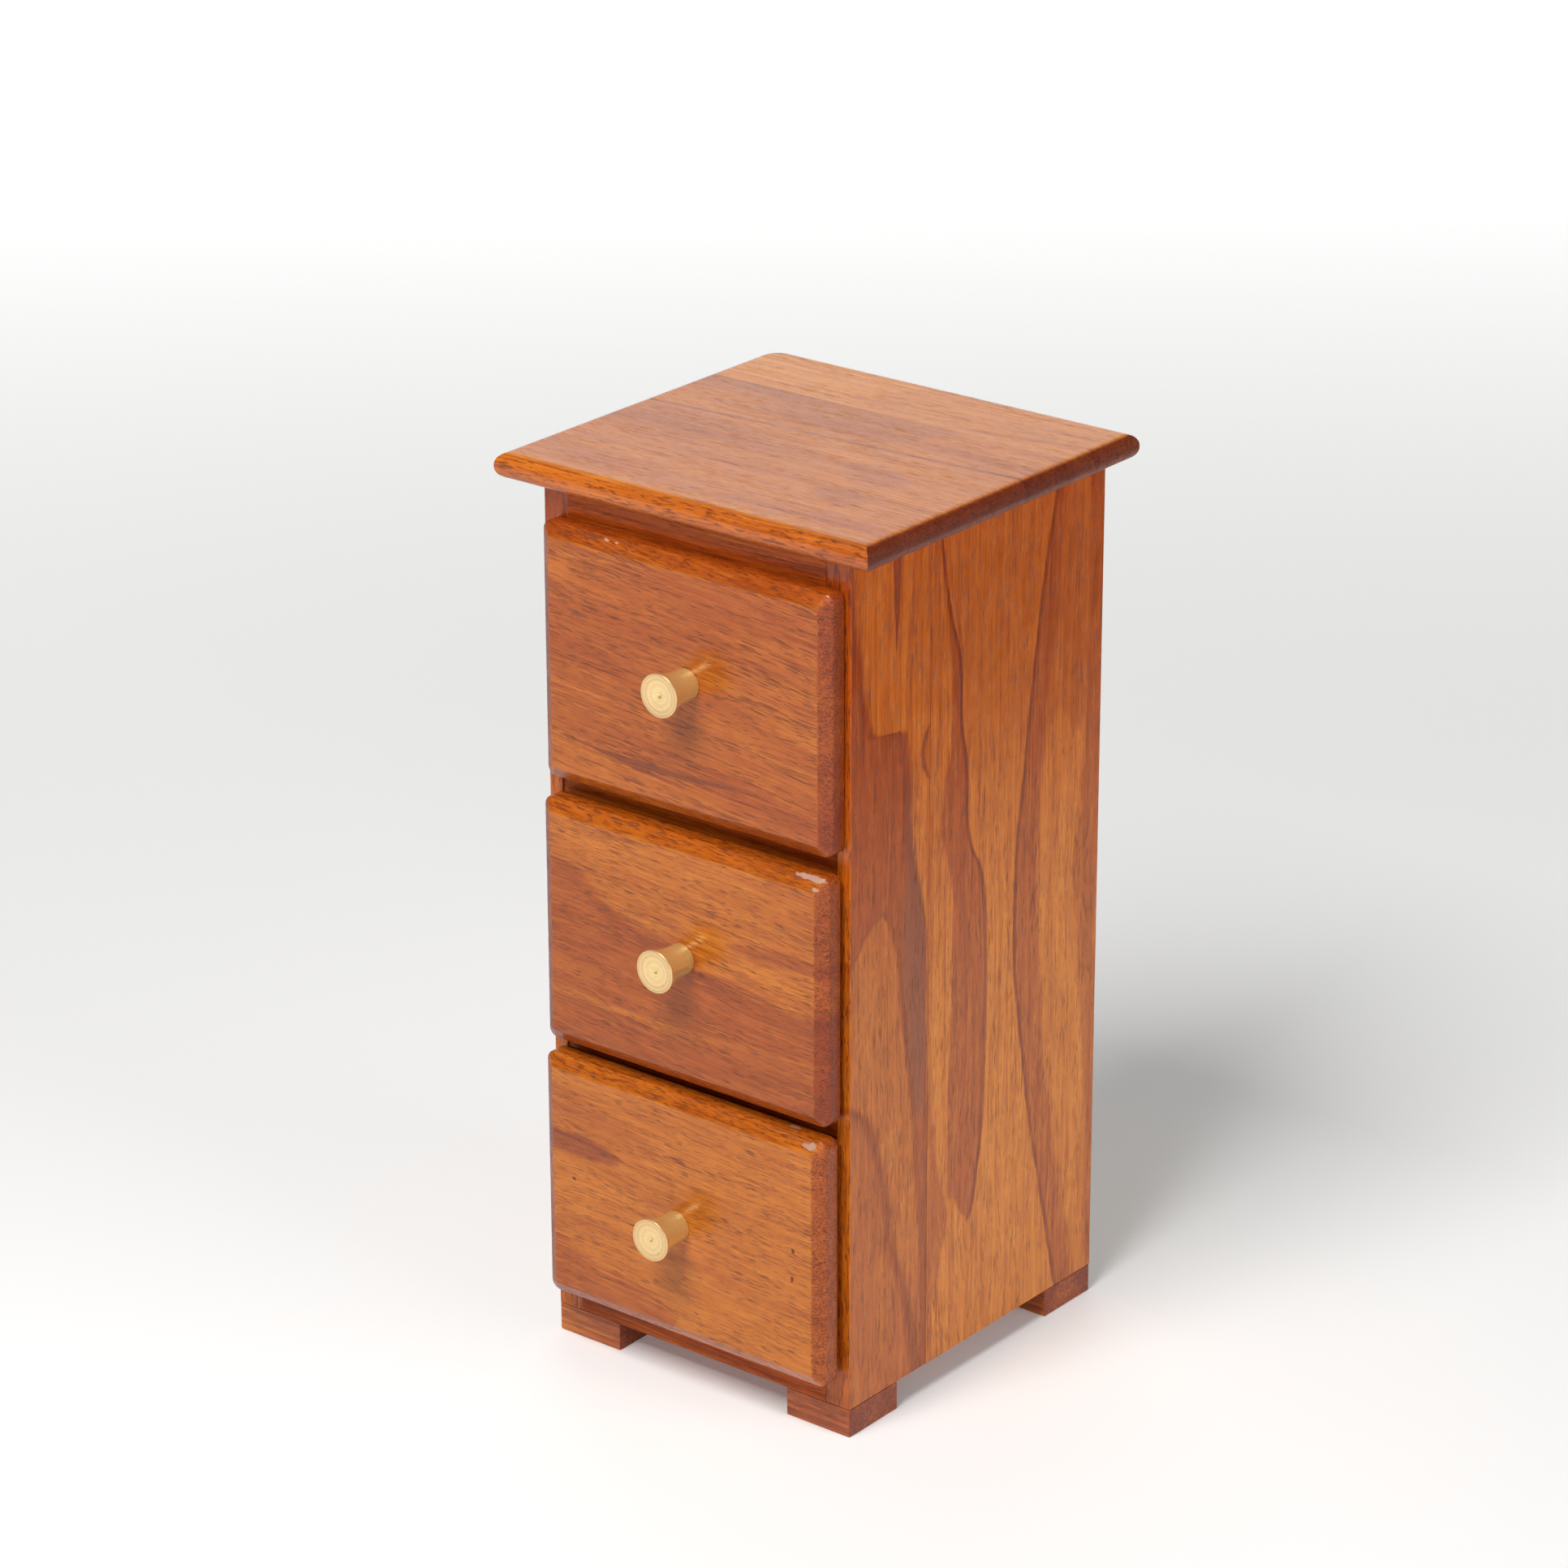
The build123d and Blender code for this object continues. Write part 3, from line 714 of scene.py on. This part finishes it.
def slab_rear_figure():
    """A rosy right half, and a faint darker line that runs off the board's right end."""
    line = [(11, 32.4, -0.8), (25, 35, 1.2), (40, 38, 1.4), (53.9, 40.6, 1.2)]
    rosy_left = [(-14, 30), (-5, 20), (53.9, 20)]
    rosy_right = [(-14, 28), (0, 56.9), (53.9, 56.9)]
    return [
        stretch(SLAB, rosy_left, rosy_right, soft=(8, 8), heart=0.5, strength=0.6),
        vein(SLAB, line, soft=(1.6, 1.6), heart=0.9, strength=0.8),
    ]


FRONTS = ((-42.0, 44.0), (0.0, 222.0))


def top_front_figure():
    """Reddish wood high on the left and round the knob, and a few dark lines near the bottom."""
    high_low = [(-41.9, 177), (-20, 180), (0, 186), (20, 194), (43.9, 203)]
    high_high = [(-41.9, 196), (-20, 199), (0, 204), (20, 209), (43.9, 212)]
    knob_low = [(-27, 168), (-15, 168.5), (-8, 171), (0, 173), (10, 173), (20, 170), (43.9, 163)]
    knob_high = [(-27, 165), (-15, 171), (-8, 175), (0, 179), (10, 179), (20, 176), (43.9, 169)]
    line = [(-24, 157.2, -0.6), (-15, 156.6, 1.1), (0, 156.2, 1.2), (15, 157, 0.9), (32, 155.3, -0.6)]
    second = [(-38, 158.4, -0.5), (-25, 157.3, 0.8), (-8, 154.6, 0.7), (6, 153.8, -0.5)]
    bruise = [(-33, 189.0, -0.5), (-29, 188.6, 1.0), (-25, 187.9, -0.5)]
    return [
        stretch(FRONTS, high_low, high_high, soft=(5, 5), heart=0.85, strength=0.5, streaks=2.2),
        stretch(FRONTS, knob_low, knob_high, soft=(4, 4), heart=0.85, strength=0.5),
        vein(FRONTS, line, soft=(0.8, 0.8), rim=(0.4, 0.4), dusk=0.4),
        vein(FRONTS, second, soft=(0.8, 0.8), rim=(0.3, 0.3), dusk=0.2),
        vein(FRONTS, bruise, soft=(0.5, 0.5), rim=(0.5, 0.5), dusk=0.8),
    ]


def middle_front_figure():
    """Pale above a slanting line, red-brown below it, with a golden stretch to the right of the knob."""
    slant = [(-41.9, 127), (-30, 125.5), (-16, 118), (0, 114.5), (20, 109), (43.9, 108)]
    bottom = [(-41.9, 79), (43.9, 79)]
    top = [(-41.9, 142), (43.9, 142)]
    patch = [(12, 119.3, -1.5), (22, 119.5, 3.2), (32, 119.8, 3.8), (43.9, 119, 2.8)]
    gold = [(3, 110, -1.5), (12, 113, 3.6), (25, 114, 3.8), (43.9, 112.5, 3.2)]
    pale_line = [(-41.9, 95, 1.5), (-10, 94, 1.8), (20, 95, 1.2), (43.9, 96, 0.8)]
    return [
        stretch(FRONTS, slant, top, soft=(5, 1), heart=0.22, strength=0.6, streaks=1.4),
        stretch(FRONTS, bottom, slant, soft=(1, 5), heart=0.88, strength=0.65, rim=(0, 0.15), streaks=2.2),
        vein(FRONTS, patch, soft=(2.2, 2.2), heart=0.95, strength=0.7),
        vein(FRONTS, gold, soft=(2.2, 2.2), heart=0.05, strength=0.8),
        vein(FRONTS, pale_line, soft=(1.8, 1.8), heart=0.15, strength=0.6),
    ]


def bottom_front_figure():
    """Golden wood with a dark streak and a blush at the left, and darker wood in the lower left corner."""
    bottom = [(-41.9, 14), (43.9, 14)]
    top = [(-41.9, 79), (43.9, 79)]
    streak_low = [(-41.9, 54), (-30, 53.5), (-20, 54.3), (-14, 57)]
    streak_high = [(-41.9, 58.5), (-30, 58.8), (-20, 57.4), (-14, 55.6)]
    corner_low = [(-41.9, 14), (-5, 14), (2, 24)]
    corner_high = [(-41.9, 32), (-34, 31), (-26, 27), (-12, 25), (2, 20)]
    middle = [(-41.9, 35, 3), (0, 36, 3.5), (43.9, 31, 2.5)]
    dash = [(-3, 61.9, -0.6), (0, 61.4, 0.8), (4, 60.9, -0.6)]
    blush = [(-41.9, 66, 13), (-20, 63, 11), (-2, 61, -2)]
    return [
        stretch(FRONTS, bottom, top, heart=0.06, strength=0.6),
        vein(FRONTS, blush, soft=(5, 5), heart=0.62, strength=0.6),
        stretch(FRONTS, streak_low, streak_high, soft=(1.8, 1.2), heart=0.95, rim=(0, 0.4), dusk=0.25),
        stretch(FRONTS, corner_low, corner_high, soft=(1, 6), heart=0.9, strength=0.75, streaks=2.8),
        vein(FRONTS, middle, soft=(3, 3), heart=0.6, strength=0.5),
        vein(FRONTS, dash, soft=(0.6, 0.6), rim=(0.3, 0.3), dusk=0.5),
    ]


def mark(centre, radii, colour):
    """A chip or knot on a front, about a point (x, z, y)."""
    return {"centre": centre, "radii": radii, "colour": colour}


TOP_MARKS = (
    mark((-21.6, 207.4, -43.4), (0.9, 0.3, 0.4), BARE),
    mark((-18.5, 207.3, -43.4), (0.5, 0.25, 0.3), BARE),
)
MIDDLE_MARKS = (
    mark((38.0, 141.2, -44.3), (4.4, 0.7, 0.9), BARE),
    mark((39.6, 139.2, -45.6), (0.9, 0.45, 0.6), BARE),
    mark((7.2, 109.6, -46.0), (1.1, 0.7, 1.0), DARK_MARK),
)
BOTTOM_MARKS = (
    mark((38.4, 75.9, -45.8), (1.9, 0.9, 1.1), BARE),
    mark((31.0, 77.4, -42.3), (2.1, 0.8, 0.6), BARE),
    mark((34.3, 48.8, -47.0), (0.45, 0.7, 2.0), DARK_MARK),
    mark((34.1, 41.5, -47.0), (0.5, 0.75, 2.0), DARK_MARK),
    mark((-31.3, 47.3, -47.0), (0.8, 0.45, 2.0), DARK_MARK),
)


# ---------------------------------------------------------------- stage, light and camera

# All in metres, and the lamps' power in watts.
STAGE_RADIUS = 3.0
WALL_HEIGHT = 2.0
WALL_SIDES = 96             # a count, not a length
WHITE = (1.0, 1.0, 1.0, 1.0)
PALE_FLOOR = (0.92, 0.92, 0.91, 1.0)
CARD_BLACK = (0.02, 0.02, 0.02, 1.0)
NEAR_GLOW, FAR_GLOW = 0.12, 0.70
GLOW_REACH = (0.25, 1.5)
WALL_GLOW = 0.9
CARD_X, CARD_Y, CARD_LIFT = (0.26, 1.6), (-0.2, 2.2), 0.001
WORLD_STRENGTH = 0.11
AIM = (0.0, 0.0, 0.1)
LAMPS = {
    "key": {"place": (0.05, -0.75, 1.15), "size": 0.55, "power": 15.5},
    "wall": {"place": (-0.95, 1.20, 0.72), "size": 1.1, "power": 4.0},
    "right_fill": {"place": (1.5, 0.1, 0.5), "size": 1.0, "power": 8.4},
    "front_fill": {"place": (0.5, -1.5, 0.6), "size": 0.8, "power": 2.0},
}

CAMERA_AZIMUTH, CAMERA_ELEVATION, CAMERA_ROLL = 38.59, 21.94, -0.161    # degrees
CAMERA_DISTANCE = 1.2646
CAMERA_TARGET = (-0.00985, 0.00551, 0.13595)
SENSOR_WIDTH, LENS = 36.0, 124.22                                       # millimetres


def stage_piece(name, vertices, faces, material):
    """A piece of the stage, which isn't part of the object."""
    mesh = bpy.data.meshes.new(name)
    mesh.from_pydata(vertices, [], faces)
    mesh.materials.append(material)
    piece = bpy.data.objects.new(name, mesh)
    bpy.context.scene.collection.objects.link(piece)
    return piece


def level_sheet(x, y, z):
    """Corners of a level rectangle between two limits on X and two on Y."""
    return [(x[0], y[0], z), (x[1], y[0], z), (x[1], y[1], z), (x[0], y[1], z)]


def floor():
    """A plain pale floor, which glows a little under the feet and more where it leaves the lamps' reach."""
    graph = Graph("pale_floor")
    away = graph.add("VectorMath", {0: graph.add("TexCoord").outputs["Object"]}, operation="LENGTH")
    strength = graph.smooth(away.outputs["Value"], *GLOW_REACH, NEAR_GLOW, FAR_GLOW)
    glow = {"Emission Color": WHITE, "Emission Strength": strength}
    material = graph.surface({"Base Color": PALE_FLOOR, "Roughness": 0.7, **glow})
    limits = (-STAGE_RADIUS, STAGE_RADIUS)
    stage_piece("floor", level_sheet(limits, limits, 0), [(0, 1, 2, 3)], material)


def backdrop():
    """A pale wall round the edge of the floor, which only the camera sees."""
    radius = STAGE_RADIUS - 0.1
    angles = [math.tau * side / WALL_SIDES for side in range(WALL_SIDES)]
    low = [(radius * math.cos(angle), radius * math.sin(angle), 0) for angle in angles]
    high = [(x, y, WALL_HEIGHT) for x, y, _ in low]
    pairs = [(side, (side + 1) % WALL_SIDES) for side in range(WALL_SIDES)]
    faces = [(side, after, WALL_SIDES + after, WALL_SIDES + side) for side, after in pairs]
    glow = {"Emission Color": WHITE, "Emission Strength": WALL_GLOW}
    material = Graph("pale_wall").surface({"Base Color": CARD_BLACK, "Roughness": 1.0, **glow})
    wall = stage_piece("backdrop", low + high, faces, material)
    wall.visible_diffuse = wall.visible_glossy = wall.visible_transmission = wall.visible_shadow = False


def flag():
    """A black card on the floor, to the right of the chest, that only the lacquer's reflections see."""
    material = Graph("black_card").surface({"Base Color": CARD_BLACK, "Roughness": 0.9})
    card = stage_piece("flag", level_sheet(CARD_X, CARD_Y, CARD_LIFT), [(0, 1, 2, 3)], material)
    card.visible_camera = card.visible_diffuse = card.visible_shadow = False


def softbox(name, place, size, power):
    """A square area light aimed at the middle of the chest."""
    data = bpy.data.lights.new(name, "AREA")
    data.size = size
    data.energy = power
    lamp = bpy.data.objects.new(name, data)
    lamp.location = place
    lamp.rotation_euler = (Vector(AIM) - Vector(place)).to_track_quat("-Z", "Y").to_euler()
    bpy.context.scene.collection.objects.link(lamp)


def studio():
    """A dim surround, a softbox high in front, a bright wall low on the left behind, and two fills."""
    world = bpy.data.worlds.new("studio")
    world.use_nodes = True
    background = world.node_tree.nodes["Background"]
    background.inputs["Color"].default_value = WHITE
    background.inputs["Strength"].default_value = WORLD_STRENGTH
    bpy.context.scene.world = world
    for name, lamp in LAMPS.items():
        softbox(name, **lamp)
    flag()
    bpy.context.scene.view_settings.view_transform = "Standard"


def camera():
    """A long lens to the right of the front, looking down."""
    azimuth, elevation, roll = map(math.radians, (CAMERA_AZIMUTH, CAMERA_ELEVATION, CAMERA_ROLL))
    forward = Vector((-math.sin(azimuth), math.cos(azimuth), 0)) * math.cos(elevation)
    forward.z = -math.sin(elevation)
    level = Vector((math.cos(azimuth), math.sin(azimuth), 0))
    upright = level.cross(forward)
    right = level * math.cos(roll) + upright * math.sin(roll)
    up = upright * math.cos(roll) - level * math.sin(roll)
    data = bpy.data.cameras.new("camera")
    data.sensor_width = SENSOR_WIDTH
    data.lens = LENS
    piece = bpy.data.objects.new("camera", data)
    axes = Matrix((right, up, -forward)).transposed().to_4x4()
    piece.matrix_world = Matrix.Translation(Vector(CAMERA_TARGET) - forward * CAMERA_DISTANCE) @ axes
    bpy.context.scene.collection.objects.link(piece)
    bpy.context.scene.camera = piece


# ---------------------------------------------------------------- build

# Board plans: the axis along the grain, then the axis across the face.
LEVEL, UPRIGHT, FACING = ("X", "Y"), ("Z", "Y"), ("X", "Z")
BACK_PLAN, BOX_SIDE_PLAN = ("Z", "X"), ("Y", "Z")

SLAB_LOOK = {"variety": 0.5, "gloss": 0.27, "pores": 0.45, "end_tint": (0.34, 0.20, 0.17)}
# The sides' look paints shade: darker and redder from 80 to 200 mm up, standing for the shadow under the
# slab.
SIDE_LOOK = {"heart": 0.2, "variety": 0.5, "painted_shade": (80.0, 200.0), "tint": (1.14, 1.20, 1.15), "shine": 0.4}
SIDE_SEEDS = {"left": 23.0, "right": 7.0}
FRONT_LOOK = {"gloss": 0.22, "pores": 1.3, "tint": (0.98, 0.97, 0.87), "shine": 0.42}
FRONT_LOOKS = {
    "drawer_top": {"seed": 43.0, "heart": 0.62, "variety": 0.38, "tilt": 0.10, "spots": TOP_MARKS},
    "drawer_middle": {"seed": 47.0, "heart": 0.55, "variety": 0.5, "tilt": 0.08, "spots": MIDDLE_MARKS},
    "drawer_bottom": {"seed": 53.0, "heart": 0.3, "variety": 0.42, "tilt": 0.06, "spots": BOTTOM_MARKS},
}
FRONT_FIGURES = {
    "drawer_top": top_front_figure,
    "drawer_middle": middle_front_figure,
    "drawer_bottom": bottom_front_figure,
}

# Boards whose arrises are broken, by how their names start or end, and how wide the rounds are.
CARCASE_BOARDS = ("foot_", "shelf_", "top_board", "bottom_board")
BOX_BOARDS = ("box_front", "box_back", "side_left", "side_right", "bottom_panel")
SIDE_ARRIS, CARCASE_ARRIS, BOX_ARRIS = 0.18, 0.3, 0.25


def dress_slab():
    """The top's two boards, the rear one paler."""
    front = {"seed": 1.0, "heart": 0.25, "tint": (1.06, 1.08, 1.0), "figure": slab_front_figure()}
    rear = {"seed": 4.0, "heart": 0.0, "tint": (1.22, 1.40, 1.5), "figure": slab_rear_figure()}
    for end, look in (("front", front), ("rear", rear)):
        dress(f"slab_{end}_board", wood(f"slab_{end}_wood", LEVEL, **look, **SLAB_LOOK))


def dress_sides():
    """Both sides show the same figure with other fine grain."""
    for side, seed in SIDE_SEEDS.items():
        front = wood(f"side_{side}_front_wood", UPRIGHT, seed, figure=side_front_figure(), **SIDE_LOOK)
        rear = wood(f"side_{side}_rear_wood", UPRIGHT, seed + 5, figure=side_rear_figure(), **SIDE_LOOK)
        dress(f"side_{side}_front_board", front)
        dress(f"side_{side}_rear_board", rear)


def dress_inner_boards():
    """The boards between the sides, the feet and the back."""
    # The rails' dark, deep red is partly their wood and partly painted shade: it stands for the shade and red
    # bounce light in the narrow gaps between the drawers and under the slab.
    shaded_rail = wood("rail_wood_painted_shade", FACING, 31.0, heart=0.8, tint=(1.05, 0.90, 0.7), shine=0.15)
    for name in ("top_board", "bottom_board", "shelf_upper", "shelf_lower"):
        dress(name, shaded_rail)
    feet = wood("feet_wood", FACING, 37.0, heart=0.6)
    for end in ("front", "rear"):
        for side in ("left", "right"):
            dress(f"foot_{end}_{side}", feet)
    dress("back_panel", bare_wood("back_panel_wood", BACK_PLAN, 41.0))


def dress_drawers(fixings):
    """Each drawer's own front and knob, and its box in unlacquered wood."""
    lathe_brass = brass()
    along = bare_wood("box_side_wood", BOX_SIDE_PLAN, 61.0)
    across = bare_wood("box_end_wood", FACING, 67.0)
    for name in DRAWERS:
        look = {**FRONT_LOOK, **FRONT_LOOKS[name], "figure": FRONT_FIGURES[name]()}
        drawer_front(name, wood(name + "_front_wood", FACING, **look))
        knob(name, lathe_brass)
        for side in ("side_left", "side_right", "bottom_panel"):
            dress(f"{name}_{side}", along)
        for end in ("box_front", "box_back"):
            dress(f"{name}_{end}", across)
        for fixing in ("knob_screw", "box_pins"):
            dress(f"{name}_{fixing}", fixings)


def soften_boards():
    """Break the arrises of every board that keeps its CAD shape, but for the slab, whose edges are round."""
    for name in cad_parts:
        if name.startswith("side_"):
            soften(name, SIDE_ARRIS)
        elif name.startswith(CARCASE_BOARDS) or name == "back_panel":
            soften(name, CARCASE_ARRIS)
        elif name.endswith(BOX_BOARDS):
            soften(name, BOX_ARRIS)


dress_slab()
dress_sides()
dress_inner_boards()
steel_fixings = steel()
dress("back_panel_pins", steel_fixings)
dress_drawers(steel_fixings)
soften_boards()
floor()
backdrop()
studio()
camera()
